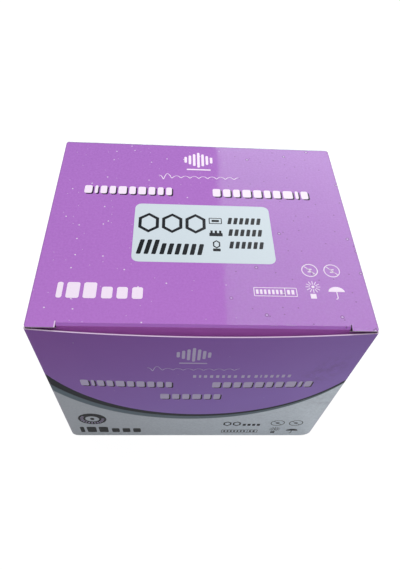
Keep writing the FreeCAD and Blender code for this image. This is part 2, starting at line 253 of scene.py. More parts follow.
def steps(start, end, count):
    return [start + (end - start) * number / count for number in range(count + 1)]


def capped(mesh, rings, material=0):
    # a closed shape through rings of as many points each
    faces = [mesh.faces.new(rings[0][::-1]), mesh.faces.new(rings[-1])]
    for low, high in zip(rings, rings[1:]):
        for number in range(len(low)):
            following = (number + 1) % len(low)
            faces.append(mesh.faces.new([low[number], low[following], high[following], high[number]]))
    for face in faces:
        face.material_index = material


def toMesh(mesh, name):
    made = bpy.data.meshes.new(name)
    mesh.to_mesh(made)
    mesh.free()
    return made


class Skin:
    # faces of a sheet in millimetres, each point with its place in the artwork

    def __init__(self):
        self.mesh = bmesh.new()
        self.artwork = self.mesh.verts.layers.float_vector.new("artwork")

    def point(self, place, artwork=(0, 0)):
        made = vertex(self.mesh, place)
        made[self.artwork] = (*artwork, 0)
        return made

    def grid(self, rows, closed=False, flip=False):
        # rows of (place, artwork), one face between four neighbours
        made = [[self.point(*spot) for spot in row] for row in rows]
        for low, high in zip(made, made[1:]):
            count = len(low)
            for column in range(count if closed else count - 1):
                following = (column + 1) % count
                corners = [low[column], low[following], high[following], high[column]]
                self.mesh.faces.new(corners[::-1] if flip else corners)

    def weld(self, distance=0.004):
        bmesh.ops.remove_doubles(self.mesh, verts=self.mesh.verts, dist=distance * mm)


def smoothed(mesh, sharpAngle):
    mesh.shade_smooth()
    mesh.set_sharp_from_angle(angle=math.radians(sharpAngle))


def newPiece(name, mesh, materials, sharpAngle=40):
    piece = newObject(name, mesh)
    if not mesh.materials:
        for material in materials:
            mesh.materials.append(material)
    smoothed(mesh, sharpAngle)
    return piece


def evaluated(piece):
    # its mesh with the modifiers worked in
    graph = bpy.context.evaluated_depsgraph_get()
    return bpy.data.meshes.new_from_object(piece.evaluated_get(graph), depsgraph=graph)


def thicken(piece, thickness, sharpAngle=30):
    # board under a skin: its inner side and its cut edges take the next two finishes
    solid = piece.modifiers.new("board", "SOLIDIFY")
    solid.thickness = thickness * mm
    solid.offset = -1
    solid.use_even_offset = True
    solid.material_offset = 1
    solid.material_offset_rim = 2
    made = evaluated(piece)
    piece.modifiers.clear()
    made.set_sharp_from_angle(angle=math.radians(sharpAngle))
    piece.data = made


# carton: walls, dust flaps and base of one folded board

carton = {
    "sideX": 59.94, "faceY": 49.94, "wallTop": 98.8, "board": 0.45,
    "cornerRadius": 0.6, "foldRadius": 0.6,
    "bow": 2.4, "bowStart": 20,
    "hingeY": 49.775, "hingeZ": 99.775, "beadRadius": 0.165,
    "dustFrontY": -47.05, "dustBackY": 48.6, "dustFreeX": 14.5, "dustCut": 9, "dustCorner": 6,
    "baseOverlapY": 22, "baseRearEndY": -12,
    "baseRise": (8, 0.4),  # behind the overlap, where the rear flap leaves the table and where it is up
    "seam": ((-59.4, -47), (49.05, 49.48), (0.95, 98.7)),  # the glued strip inside
    "crushLeft": 3.3, "crushRight": 4.9,
    "crushReach": 4,  # how many radii back a crushed corner fades out
    # circles round the printed fields: along the front, up, radius, softness
    "purpleField": (0.8, 94.88, 66.3, 0.3),
    "charcoalBand": (-0.9, 95.13, 69.1, 0.8),
    "blueGreyBand": (-2.5, 91.88, 69.2, 0.6),
    "printTop": 102.6, "printLow": -4,
    "printStretch": 1.2,  # on the sides, so that it meets the front's
    # painted shade: the walls' purple is the lid's ink painted darker
    "purple": paint(166, 106, 200), "purpleShade": paint(157, 101, 197), "lavender": paint(178, 138, 234),
    "paintedReflection": (0.0062, -0.0105, 1.338),  # painted reflection: share of lavender, for each millimetre along and up, and at 0
    "charcoal": paint(8, 18, 32), "blueGrey": paint(112, 130, 142), "bareWhite": paint(226, 226, 224),
    "silver": paint(236, 246, 255), "silverPaintedDim": paint(196, 202, 209), "silverShade": paint(166, 174, 186),
    "silverLightSpan": (-60, 90),  # painted light: where the silver starts to be painted brighter towards the right, and over what length
    "silverMetal": 0.25, "grain": (1.1, 4, 0.7), "grainShare": 0.28,
    "roughness": 0.3, "roughPatches": (14, 3), "roughMore": 0.08,
    "worn": paint(214, 190, 222), "wornRougher": 0.3,
    "rub": 1.3,  # its width, and from which height down and over what length it grows
    "rubLow": (60, -20), "rubShare": (0.5, 0.2), "rubPatches": (2.6, 3, 0.6),
    "scuffs": [(46.5, 68, 6.5, 9), (51, 76.5, 5.5, 9), (54.8, 42, 5, 9)],
    "scuffPatches": (3.4, 5, 0.75), "scuffHardness": (3.2, 1.35), "scuffShare": 0.3,
    "specks": (9, 0.24, 0.2), "speckShare": 0.3,
}
carton["flatX"] = carton["sideX"] - carton["cornerRadius"]
carton["flatY"] = carton["faceY"] - carton["cornerRadius"]


def insideCircle(across, height, field):
    centreAcross, centreHeight, radius, softness = field
    reach = ((across - centreAcross) ** 2 + (height - centreHeight) ** 2) ** 0.5
    return ((radius - reach) / softness + 0.5).clamped()


def makeCartonPrint():
    # artwork runs on round the walls: x from the front's middle, y up from the base
    finish = Finish("cartonPrint")
    artwork = finish.start.node("ShaderNodeAttribute", out="Vector", attribute_name="artwork")
    across, height = [artwork.node("ShaderNodeSeparateXYZ", {0: artwork}, axis) for axis in (0, 1)]
    inGrey, inCharcoal, inPurple = [insideCircle(across, height, carton[field]) for field in (
        "blueGreyBand", "charcoalBand", "purpleField")]
    perAcross, perHeight, paleness = carton["paintedReflection"]
    paintedReflection = (across * perAcross + height * perHeight + paleness).clamped()
    purple = finish.noise(boardPrint["cloud"]).mix(carton["purple"], carton["purpleShade"])
    # painted light: the silver is painted dimmer on the left and brighter towards the right
    silver = across.ramp(*carton["silverLightSpan"]).mix(carton["silverPaintedDim"], carton["silver"])
    grain = finish.noise(*carton["grain"]).hardened()
    board = (grain * carton["grainShare"]).mix(silver, carton["silverShade"])
    board = inGrey.mix(board, carton["blueGrey"])
    board = inCharcoal.mix(board, carton["charcoal"])
    # painted reflection: the purple is painted paler and bluer towards the lower right of the front
    board = inPurple.mix(board, paintedReflection.mix(purple, carton["lavender"]))
    # the print ends a little past the folds
    bare = ((height > carton["printTop"]) + (height < carton["printLow"])).clamped()
    board = bare.mix(board, carton["bareWhite"])
    # a pale rub down the upright folds, and scuffs on the front's right
    atFold = abs(across).ramp(carton["sideX"] - carton["rub"], carton["rub"])
    rub = atFold * finish.noise(*carton["rubPatches"])
    more, least = carton["rubShare"]
    board = (rub * (height.ramp(*carton["rubLow"]) * more + least)).mix(board, carton["worn"])
    patchy = finish.noise(*carton["scuffPatches"]).hardened(*carton["scuffHardness"])
    for scuff in carton["scuffs"]:
        scuffed = insideCircle(across, height, scuff) * patchy * carton["scuffShare"]
        board = scuffed.mix(board, boardPrint["smudgeAndDropShade"])
    specks = finish.dots(*carton["specks"], artwork, 1) * carton["speckShare"]
    colour = specks.mix(board, boardPrint["speckAndDropGlint"])
    uneven = finish.noise(*carton["roughPatches"]) * carton["roughMore"]
    return finish.close(colour, carton["roughness"] + rub * carton["wornRougher"] + uneven, {
        "Metallic": (1 - inGrey) * (1 - inPurple) * (1 - bare) * carton["silverMetal"],
        "Normal": filmBumps(finish), "Specular IOR Level": boardPrint["gloss"]})


cartonPrint = makeCartonPrint()


def bowAt(height):
    rise = (height - carton["bowStart"]) / (carton["wallTop"] - carton["bowStart"])
    return carton["bow"] * min(max(rise, 0), 1)


def crushed(x, y, z):
    # the two lower front corners are knocked round
    radius = carton["crushLeft"] if x < 0 else carton["crushRight"]
    along, up = carton["sideX"] - abs(x) - radius, z - radius
    if along >= 0 or up >= 0:
        return x, y, z
    squeeze = max(abs(along), abs(up)) / math.hypot(along, up)
    fade = 1 - min(max((y + carton["faceY"]) / (carton["crushReach"] * radius), 0), 1)
    moved = fade * fade * (3 - 2 * fade) * (1 - squeeze)
    return x - math.copysign(along * moved, x), y, z - up * moved


def wallSteps():
    # where the grids of the walls and the base have their lines
    nearFold = [54.2, 55.8, 57.2, 58.3, carton["flatX"]]
    wide = [-x for x in nearFold[::-1]] + steps(-52, 52, 26) + nearFold
    deep = ([-carton["flatY"], -48.6, carton["dustFrontY"], -45.8, -44] + steps(-42, 42, 21)
            + [44.5, 46.8, carton["dustBackY"], carton["flatY"]])
    return wide, deep


def ringColumns():
    # once round the walls: plan place, outward direction, share of the bow, print coordinate
    sideX, faceY, radius = carton["sideX"], carton["faceY"], carton["cornerRadius"]
    flatX, flatY, stretch = carton["flatX"], carton["flatY"], carton["printStretch"]
    wide, deep = wallSteps()
    panels = [
        (wide, lambda x: ((x, -faceY), (0, -1), 1 - (x / flatX) ** 2, x), (flatX, -flatY, -90)),
        (deep, lambda y: ((sideX, y), (1, 0), 0, -stretch * y), (flatX, flatY, 0)),
        (wide[::-1], lambda x: ((x, faceY), (0, 1), 0, -x), (-flatX, flatY, 90)),
        (deep[::-1], lambda y: ((-sideX, y), (-1, 0), 0, stretch * y), (-flatX, -flatY, 180)),
    ]
    columns = []
    for places, column, (cornerX, cornerY, startAngle) in panels:
        columns += [column(place) for place in places]
        for turn in (18, 36, 54, 72):
            out = direction(startAngle + turn)
            columns.append(((cornerX + radius * out[0], cornerY + radius * out[1]), out, 0, columns[-1][3]))
    return columns


def wallPoint(column, height):
    plan, out, bowShare, across = column
    radius = carton["foldRadius"]
    inset = radius - math.sqrt(radius ** 2 - (radius - height) ** 2) if height < radius else 0
    y = plan[1] - inset * out[1] - bowAt(height) * bowShare
    return crushed(plan[0] - inset * out[0], y, height), (across, height)


def addWalls(skin):
    curl = [carton["foldRadius"] * (1 - direction(angle)[0]) for angle in range(0, 91, 18)]
    heights = curl + [1.2, 2, 3, 4.2, 5.6, 7.5] + steps(10, 94, 28) + [96.4, 97.8, carton["wallTop"]]
    columns = ringColumns()
    skin.grid([[wallPoint(column, height) for column in columns] for height in heights], closed=True)
    # the back wall runs on up to the lid's fold
    back = [column for column in columns if column[1] == (0, 1)]
    rise = steps(carton["wallTop"], carton["hingeZ"], 2)
    skin.grid([[wallPoint(column, height) for column in back] for height in rise])


def addDustFlap(skin, side):
    # over the side wall's fold and in under the lid
    radius, wallTop, corner = carton["foldRadius"], carton["wallTop"], carton["dustCorner"]
    firstY, lastY = carton["dustFrontY"], carton["dustBackY"]
    columns = [(plan[1], across) for plan, out, bowShare, across in ringColumns()
               if out == (side, 0) and firstY <= plan[1] <= lastY]
    foldX = carton["sideX"] - radius
    rows = []
    for angle in range(0, 91, 15):
        cos, sin = direction(angle)
        x, z = side * (foldX + radius * cos), wallTop + radius * sin
        printed = wallTop + radius * math.radians(angle)
        rows.append([((x, y, z), (across, printed)) for y, across in columns])
    reach = foldX - carton["dustFreeX"]
    bend = [reach - corner * (1 - direction(angle)[1]) for angle in range(15, 91, 15)]
    for along in steps(0, reach - corner, 12)[1:] + bend:
        past = max(0, along - (reach - corner))
        frontY = firstY + corner - math.sqrt(max(corner ** 2 - past ** 2, 0))
        depth = lastY - carton["dustCut"] * along / reach - frontY
        rows.append([((side * (foldX - along), frontY + depth * (y - firstY) / (lastY - firstY), z),
                      (across, printed + along)) for y, across in columns])
    skin.grid(rows)


def addBase(skin):
    # two long flaps glued over each other
    edgeY, overlapY, board = carton["faceY"] - carton["foldRadius"], carton["baseOverlapY"], carton["board"]
    leaves, arrives = carton["baseRise"]
    wide, deep = wallSteps()
    frontRows = [y for y in deep if y <= overlapY]
    rearRows = [(edgeY, 0), (overlapY + leaves, 0), (overlapY + arrives, board),
                (carton["baseRearEndY"], board)]
    skin.grid([[(crushed(x, y, 0), (x * 0.9, -y - edgeY - 0.5)) for x in wide] for y in frontRows], flip=True)
    skin.grid([[((x, y, z), (x * 0.9, y - edgeY - 0.5)) for x in wide] for y, z in rearRows])


def makeCartonBoard():
    skin = Skin()
    addWalls(skin)
    addDustFlap(skin, -1)
    addDustFlap(skin, 1)
    addBase(skin)
    skin.weld()
    piece = newPiece("cartonBoard", toMesh(skin.mesh, "cartonBoard"), [cartonPrint, bareBoard, cutEdge])
    thicken(piece, carton["board"])
    extra = bmesh.new()
    extra.from_mesh(piece.data)
    # the rounded fold that the lid turns on, and the glued seam strip
    radius = carton["beadRadius"]
    capped(extra, [[vertex(extra, (x, carton["hingeY"] + radius * cos, carton["hingeZ"] + radius * sin))
                    for cos, sin in circle(12)] for x in (carton["flatX"], -carton["flatX"])])
    (left, right), (front, back), heights = carton["seam"]
    corners = [(left, front), (right, front), (right, back), (left, back)]
    capped(extra, [[vertex(extra, (*corner, z)) for corner in corners] for z in heights], material=1)
    extra.to_mesh(piece.data)
    extra.free()
    smoothed(piece.data, 40)
    return piece


cartonBoard = makeCartonBoard()
print("carton board folded:", len(cartonBoard.data.polygons), "faces")


# lid: top panel with corner tabs, and the tuck flap behind the front

lid = {
    "top": 99.94, "board": 0.45,
    "sideX": 59.67, "rearY": 49.45, "cornerRadius": 1,
    "tabY": -49.6, "slitEndY": -47.05,
    "slitX": (49.6, 50.1), "slitWidths": (0.08, 0.4),  # left, right
    "creaseY": -47.8, "creaseZ": 99,
    "flapX": 58, "flapY": -48.5, "flapLowZ": 84, "flapCorner": 9, "shoulderZ": 97.6,
    "purple": paint(187, 121, 210), "purpleShade": paint(162, 102, 190),
    "blotchesAndBackShade": (-82, 160),  # painted shade: where the ink starts to be painted darker towards the back, and over what length
    "grainPale": paint(208, 144, 234), "grain": (0.9, 4, 0.7), "grainShare": 0.26,
    "edgeGrey": paint(104, 88, 122), "edgeStrip": (0.5, 0.3), "edgeShare": 0.3,
    # painted highlight beside the left slit
    "slitHighlight": paint(236, 206, 244),
    # painted light on the slope and on the tuck flap
    "slopePaintedLight": paint(214, 137, 246), "flapPaintedLight": paint(236, 140, 255), "flapShare": 0.9,
    "margin": 0.05,  # of the zones for the slope and the flap
    "dustyTo": (4, 8),  # where the dust starts to thin out, and over what length
    "dust": [(8, 0.3, 0.42), (4.6, 0.17, 0.3)],
    "specks": (5.3, 0.3, 0.3),
    "drops": (9.5, 0.75, 0.3),
    "dropRimAndGlint": (1, 0.62, 0.45),  # radii of the drop, of the inside of its painted dark rim and of its painted highlight in the middle
    "roughness": 0.05, "sheenTint": (0.2, 1, 0.2, 1),
}


def makeLidPrint():
    finish = Finish("lidPrint")
    x, y, z = [finish.place.node("ShaderNodeSeparateXYZ", {0: finish.place}, axis) / mm for axis in range(3)]
    grain = finish.noise(*lid["grain"])
    # random blotches, and painted shade: the ink is painted darker towards the back
    blotchesAndBackShade = finish.noise(boardPrint["cloud"]) * 0.2 + y.ramp(*lid["blotchesAndBackShade"])
    purple = blotchesAndBackShade.mix(lid["purple"], lid["purpleShade"])
    colour = (grain.hardened() * lid["grainShare"]).mix(purple, lid["grainPale"])
    # the ink is greyer in a narrow strip along the side and rear edges
    inset, fade = lid["edgeStrip"]
    alongSide, alongRear = abs(x).ramp(lid["sideX"] - inset, fade), y.ramp(lid["rearY"] - inset, fade)
    edgeGreying = finish.start.maths("MAXIMUM", alongSide, alongRear) * lid["edgeShare"]
    colour = edgeGreying.mix(colour, lid["edgeGrey"])
    # painted light: the slope between the creases is painted paler, and the tuck flap in the gap behind the
    # front is painted lighter, so that neither goes dark in the shade there
    onFlap = z < lid["creaseZ"] + lid["margin"]
    onSlope = (z < lid["top"] - lid["margin"]) * (y < lid["creaseY"] + lid["margin"])
    colour = onSlope.mix(colour, lid["slopePaintedLight"])
    colour = (onFlap * lid["flapShare"]).mix(colour, lid["flapPaintedLight"])
    # painted highlight: a pale strip on the tab beside the left slit stands for its raised raw edge catching
    # the light
    slitX = -lid["slitX"][0]
    onSlitHighlight = (x > slitX - lid["slitWidths"][0] - 0.4) * (x < slitX - 0.02) * (y < lid["slitEndY"])
    colour = (onSlitHighlight * (z > lid["top"] - 0.44)).mix(colour, lid["slitHighlight"])
    # dust on the left, dark specks and small clear drops on the right; the drops have a painted dark rim and
    # a painted highlight in the middle
    clean = x.ramp(*lid["dustyTo"])
    large, small = [finish.dots(*kind) for kind in lid["dust"]]
    size, radius, share = lid["drops"]
    whole, inner, middle = [finish.dots(size, radius * part, share) for part in lid["dropRimAndGlint"]]
    for pattern, strength, tint in (
            ((large + small * 0.6).clamped() * (1 - clean), 0.75, boardPrint["speckAndDropGlint"]),
            (finish.dots(*lid["specks"]) * clean, 0.45, boardPrint["smudgeAndDropShade"]),
            # painted shade round each drop's rim, and a painted highlight in its middle
            ((whole - inner) * clean, 0.5, boardPrint["smudgeAndDropShade"]),
            (middle * clean, 0.35, boardPrint["speckAndDropGlint"])):
        colour = (pattern * strength).mix(colour, tint)
    return finish.close(colour, lid["roughness"] + grain * 0.04, {
        "Normal": filmBumps(finish), "Specular IOR Level": boardPrint["gloss"],
        "Specular Tint": lid["sheenTint"]})


lidPrint = makeLidPrint()


def roundedLimit(x, edge, limit, radius):
    # how far a rounded corner pulls the limit back at x
    past = abs(x) - (edge - radius)
    return limit if past <= 0 else limit - (radius - math.sqrt(max(radius ** 2 - past ** 2, 0)))


def addPanel(skin, places, count, start, end, spot, flip=False):
    # a sheet between two edges, start and end, with a place for each coordinate from spot
    skin.grid([[(spot(x, start(x) + share * (end(x) - start(x))),) for x in places]
               for share in steps(0, 1, count)], flip=flip)


def makeLidBoard():
    skin = Skin()
    top, corner, sideX, slitEndY = lid["top"], lid["cornerRadius"], lid["sideX"], lid["slitEndY"]
    flapY, creaseZ, shoulderZ = lid["flapY"], lid["creaseZ"], lid["shoulderZ"]
    centre = [-lid["slitX"][0], -48.6] + steps(-46, 46, 23) + [48.6, lid["slitX"][1]]
    leftTab, rightTab = [
        [slitX + width, 52.5, 54.5, 56.5, sideX - corner] + [
            sideX - corner + corner * direction(angle)[1] for angle in (20, 40, 60, 80, 90)]
        for slitX, width in zip(lid["slitX"], lid["slitWidths"])]
    leftTab = [-x for x in leftTab[::-1]]
    onTop = lambda x, y: (x, y, top)
    addPanel(skin, leftTab + centre + rightTab, 24, lambda x: slitEndY,
             lambda x: roundedLimit(x, sideX, lid["rearY"], corner), onTop)
    for tab in (leftTab, rightTab):
        addPanel(skin, tab, 4, lambda x: -roundedLimit(x, sideX, -lid["tabY"], corner),
                 lambda x: slitEndY, onTop)
    # two creases with a narrow slope between them, then the tuck flap
    profile = [(slitEndY, top), (lid["creaseY"], top), (flapY, creaseZ), (flapY, (creaseZ + shoulderZ) / 2),
               (flapY, shoulderZ)]
    skin.grid([[((x, y, z),) for x in centre] for y, z in profile], flip=True)
    flapOuter = [lid["flapX"] - lid["flapCorner"] * (1 - direction(angle)[1])
                 for angle in (22, 34, 46, 58, 70, 80, 90)]
    addPanel(skin, [-x for x in flapOuter[::-1]] + centre + flapOuter, 8, lambda x: shoulderZ,
             lambda x: -roundedLimit(x, lid["flapX"], -lid["flapLowZ"], lid["flapCorner"]),
             lambda x, z: (x, flapY, z), flip=True)
    skin.weld()
    piece = newPiece("lidBoard", toMesh(skin.mesh, "lidBoard"), [lidPrint, bareBoard, cutEdge], 30)
    thicken(piece, lid["board"])
    for face in piece.data.polygons:
        if face.center.y > (lid["rearY"] - 0.15) * mm and face.material_index == 2:
            face.material_index = 0  # the lid's rear fold isn't a cut edge
    return piece


lidBoard = makeLidBoard()
print("lid board folded:", len(lidBoard.data.polygons), "faces")


# print: flat shapes of ink, a few hundredths of a millimetre over the board

def makeInk(name, colour, unevenness, roughness=0.32):
    return makeFinish(name, (dimmed(colour, unevenness), colour), (0.8, 3), (roughness, 0.08), (0.004, 0.5),
                      more={"Specular IOR Level": boardPrint["gloss"]})


inkWhite = makeInk("inkWhite", paint(250, 235, 254), 0.95)
inkSilver = makeInk("inkSilver", paint(232, 218, 255), 0.9)
inkShade = makeInk("inkShade", paint(44, 26, 56), 0.8)
inkDark = makeInk("inkDark", paint(9, 16, 24), 0.75, 0.3)
labelGround = makeInk("labelGround", paint(212, 224, 232), 0.95, 0.36)


def blockOutline(across, up, width, height, radius, slant=0, segments=4):
    # a rounded rectangle round its centre, leaning to the right by slant times its height
    radius = min(radius, width / 2, height / 2)
    outline = []
    for cornerX, cornerY, startAngle in ((1, -1, -90), (1, 1, 0), (-1, 1, 90), (-1, -1, 180)):
        for number in range(segments + 1):
            cos, sin = direction(startAngle + 90 * number / segments)
            x = cornerX * (width / 2 - radius) + radius * cos
            y = cornerY * (height / 2 - radius) + radius * sin
            outline.append((across + x + slant * y, up + y))
    return outline


class Print:
    # closed flat shapes on one panel: place turns (across, up, lift) into a point

    def __init__(self, place, lift, shift=(0, 0), thickness=0.03):
        self.mesh = bmesh.new()
        self.place = place
        self.lift = lift
        self.shift = shift
        self.thickness = thickness

    def solid(self, outline, faces):
        # outline points and the faces between them, made a thin closed slab
        tops, lows = [[vertex(self.mesh, self.place(across + self.shift[0], up + self.shift[1], lift))
                       for across, up in outline] for lift in (self.lift, self.lift - self.thickness)]
        edges = []
        for face in faces:
            self.mesh.faces.new([tops[number] for number in face])
            self.mesh.faces.new([lows[number] for number in reversed(face)])
            edges += zip(face, face[1:] + face[:1])
        for first, second in edges:
            if (second, first) not in edges:
                self.mesh.faces.new([tops[second], tops[first], lows[first], lows[second]])

    def outline(self, points):
        self.solid(points, [list(range(len(points)))])

    def band(self, outer, inner):
        # an open frame between two outlines
        count = len(outer)
        pairs = [(number, (number + 1) % count) for number in range(count)]
        self.solid(outer + inner, [[number, following, count + following, count + number]
                                   for number, following in pairs])

    def block(self, across, up, width, height, radius=0.3, slant=0):
        self.outline(blockOutline(across, up, width, height, radius, slant))

    def frame(self, across, up, width, height, radius, stroke, segments=2):
        inner = width - 2 * stroke, height - 2 * stroke, max(radius - stroke, 0.02)
        self.band(blockOutline(across, up, width, height, radius, 0, segments),
                  blockOutline(across, up, *inner, 0, segments))

    def stroke(self, path, widths):
        # a ribbon along a path, as wide at each point as widths says
        left, right = [], []
        for number, (x, y) in enumerate(path):
            before, after = path[max(number - 1, 0)], path[min(number + 1, len(path) - 1)]
            along = math.atan2(after[1] - before[1], after[0] - before[0])
            asideX, asideY = math.sin(along) * widths[number] / 2, math.cos(along) * widths[number] / 2
            left.append((x - asideX, y + asideY))
            right.append((x + asideX, y - asideY))
        count = len(path)
        self.solid(left + right, [[count + number, count + number + 1, number + 1, number]
                                  for number in range(count - 1)])

    def toPiece(self, name, material):
        return newPiece(name, toMesh(self.mesh, name), [material], 30)


def onLid(across, up, lift):
    return across, up, lid["top"] + lift


def onFront(across, up, lift):
    share = max(0, 1 - (across / carton["flatX"]) ** 2)
    return across, -carton["faceY"] - bowAt(up) * share - lift, up


class Grower:
    # a Geometry Nodes tree with named inputs, which ends in plain geometry of one finish

    def __init__(self, name, inputs):
        self.tree = bpy.data.node_groups.new(name, "GeometryNodeTree")
        self.identifiers = {}
        for title, kind in inputs.items():
            made = self.tree.interface.new_socket(name=title, in_out="INPUT", socket_type="NodeSocket" + kind)
            self.identifiers[title] = made.identifier
        self.tree.interface.new_socket(name="Geometry", in_out="OUTPUT", socket_type="NodeSocketGeometry")
        self.start = Wire(self.tree).node("NodeGroupInput")

    def close(self, copies, finish):
        real = copies.node("GeometryNodeRealizeInstances", {"Geometry": copies})
        dressed = copies.node("GeometryNodeSetMaterial", {"Geometry": real, "Material": finish})
        copies.node("NodeGroupOutput", {"Geometry": dressed})
        return self

    def grow(self, inputs):
        # the tree's result as a plain mesh, from a host that is then removed
        host = newObject("host", bpy.data.meshes.new("host"))
        modifier = host.modifiers.new("grow", "NODES")
        modifier.node_group = self.tree
        for title, content in inputs.items():
            modifier[self.identifiers[title]] = content
        bpy.context.view_layer.update()
        made = evaluated(host)
        host.modifiers.clear()
        bpy.data.objects.remove(host)
        return made


def makeMarks():
    # marks round a circle, for the seal's ticks and the bursts' rays
    grower = Grower("marksRoundCircle", {
        "Marks": "Int", "Circle Radius": "Float", "Mark Size": "Vector",
        "Centre": "Vector", "Tilt": "Vector", "Ink": "Material"})
    start, given = grower.start, grower.start.beside
    points = start.node("GeometryNodeMeshCircle", {
        "Vertices": given("Marks"), "Radius": given("Circle Radius")})
    mark = start.node("GeometryNodeMeshCube", {"Size": given("Mark Size")})
    spot = start.node("GeometryNodeInputPosition")
    outward = start.node("FunctionNodeAlignRotationToVector", {"Vector": spot}, axis="X")
    ring = start.node("GeometryNodeInstanceOnPoints", {
        "Points": points, "Instance": mark, "Rotation": outward})
    placed = start.node("GeometryNodeTransform", {
        "Geometry": ring, "Translation": given("Centre"), "Rotation": given("Tilt")})
    return grower.close(placed, given("Ink"))


marks = makeMarks()


def addMarks(shapes, centre, radius, count, size, ink, upright):
    # marks on the lid lie flat, on the front they stand upright
    place = shapes.place(*centre, shapes.lift - shapes.thickness / 2)
    grown = marks.grow({
        "Marks": count, "Circle Radius": radius * mm, "Ink": ink, "Centre": [side * mm for side in place],
        "Mark Size": [side * mm for side in (*size, shapes.thickness)],
        "Tilt": (math.pi / 2 if upright else 0.0, 0.0, 0.0)})
    shapes.mesh.from_mesh(grown)
    bpy.data.meshes.remove(grown)


# each printed line is a run of plain blocks, a gap where the width is 0

wordRhythm = {
    "headingLeft": [1.25, 0.5, 1.05, 1, 1.35, 1.05, 1.25, 1.1, 0.95, 0.95],
    "headingRight": [1.2, 1.15, 1.05, 1.3, 1.25, 1, 1.15, 1.5, 0.5, 1.1],
    "middle": [1.25, 1, 1, 1.2, 0.95, 0.95],
    "small": [1, 0.7, 1, 1, 1, 0.9, 1, 1, 0, 1, 0.9, 0, 1, 0.5, 1, 1, 0.9, 1, 1],
    "countTall": [0.6, 1.35, 1.35],
    "countLow": [1, 1, 1],
}


def addWord(shapes, name, span, base, height, gap=0.42, share=1, radius=0.8):
    # blocks that fill the span, each as wide as its share of its place
    rhythm = wordRhythm[name]
    scale = (span[1] - span[0]) / (sum(rhythm) + gap * (len(rhythm) - 1))
    at = span[0]
    for width in rhythm:
        if width > 0:
            shapes.block(at + width * scale / 2, base + height / 2, width * scale * share, height, radius)
        at += (width + gap) * scale


lidPrintSizes = {
    "headings": [("headingLeft", (-48, -12.1), 16, 4.7), ("headingRight", (5, 45.5), 16, 4.7)],
    "ornament": (-0.6, 38.7, 13.2, 12.2),
    "flourish": (-17.8, 16.5, 27.8),
    "label": (0.45, -5, 54.1, 31, 2.6),
    "count": (-51.3, -37.6, 29.8),
    "symbols": (43.8, -23.1, -31.8, 3.1),
    "box": (25.6, -33.5, 15.7, 4),
}

frontPrintSizes = {
    "headings": [("headingLeft", (-47, -10.9), 58.5, 5.15), ("headingRight", (5.3, 45.9), 58.6, 5.15),
                 ("middle", (-15.7, 9.6), 46.6, 5.2)],
    "ornament": (-3.2, 85.7, 13, 12.05),
    "flourish": (-20.2, 14.5, 75),
    "line": ((-3, 35.9), 67.75, 2.35),
    "count": (-55, 5, 29.2),
    "seal": (-47.6, 22, 6.5, 3.2),
    "symbols": (45.2, 17.2, 8.3, 3.4),
    "box": (23.3, 6.3, 18.1, 3.8),
    "marks": (14.5, 16.1),
}

# lifts of the ink over the board, and how far a heading's shade falls
inkLift = {"ground": 0.025, "low": 0.03, "high": 0.05, "shade": (0.6, -0.6)}


def addOrnament(shapes, across, up, width, height):
    # seven round-ended bars, tallest in the middle, over a short foot line
    for number in range(-3, 4):
        tall = (height - 1.8) * (1 - 0.2 * abs(number))
        shapes.block(across + number * width / 7, up + 0.9, 1.15, tall, 0.57)
    shapes.block(across, up - height / 2 + 0.4, width * 0.8, 0.8, 0.4)


def addFlourish(shapes, fromAcross, toAcross, up, waves=9, count=170):
    # a hairline wave with one tall swing near its start, wider where it swings down
    path, widths = [], []
    for share in steps(0, 1, count):
        phase = 2 * math.pi * waves * share
        swing = 1.5 * math.exp(-((share - 0.09) / 0.06) ** 2) + 0.6
        x = fromAcross + (toAcross - fromAcross) * share
        path.append((x + 0.3 * math.sin(phase), up + swing * math.cos(phase)))
        widths.append(0.2 + 0.14 * abs(math.sin(phase * 0.5)))
    shapes.stroke(path, widths)


def addCount(shapes, across, base, length):
    # three tall blocks and three low ones
    addWord(shapes, "countTall", (across, across + length * 0.46), base, 6.9, 0.4)
    addWord(shapes, "countLow", (across + length * 0.52, across + length), base, 5.1, 0.4)


def addSymbols(shapes, sizes, ink, upright):
    # two barred rings, a burst over a square, and a half disc on a stem
    across, up, low, radius = sizes
    left, right, reach = across - radius - 1.1, across + radius + 1.1, radius * 0.66
    for centre in (left, right):
        shapes.frame(centre, up, 2 * radius, 2 * radius, radius, 0.36, segments=7)
        shapes.stroke([(centre - reach, up + reach), (centre + reach, up - reach)], [0.32] * 2)
        shapes.block(centre, up + 0.5, 1.7, 0.5, 0.2)
        shapes.block(centre, up - 0.7, 1.7, 0.5, 0.2)
    addMarks(shapes, (left, low + 0.9), 1.9, 12, (1.6, 0.26), ink, upright)
    shapes.block(left, low + 0.9, 1.2, 1.2, 0.6)
    shapes.block(left - 0.4, low - 3.3, 2.1, 2.1, 0.15)
    dome = [direction(angle) for angle in range(0, 181, 15)]
    shapes.outline([(right + 3 * cos, low - 1.2 + 2.3 * sin) for cos, sin in dome])
    stem = [(right, low - 1.2), (right, low - 3.9), (right - 0.3, low - 4.4), (right - 0.8, low - 4.4)]
    shapes.stroke(stem, [0.34] * len(stem))


def addBox(shapes, across, up, width, height):
    # an outlined box with a divider and small marks in it
    shapes.frame(across, up, width, height, 0.3, 0.28)
    divider = across + width * 0.22
    shapes.block(divider, up, 0.28, height - 0.4, 0.05)
    for number in range(7):
        shapes.block(across - width * 0.42 + number * width * 0.092, up, 0.85, height * 0.5, 0.1)
    for number in range(2):
        shapes.block(divider + width * (0.08 + 0.1 * number), up, 1, height * 0.5, 0.1)


def addHexagon(shapes, across, up, width, height, stroke):
    # an open six-sided frame with its points up and down
    corners = ((0, -1), (1, -0.5), (1, 0.5), (0, 1), (-1, 0.5), (-1, -0.5))
    shapes.band(*[[(across + x * (width / 2 - inset), up + y * (height / 2 - inset * 1.15))
                   for x, y in corners] for inset in (0, stroke)])


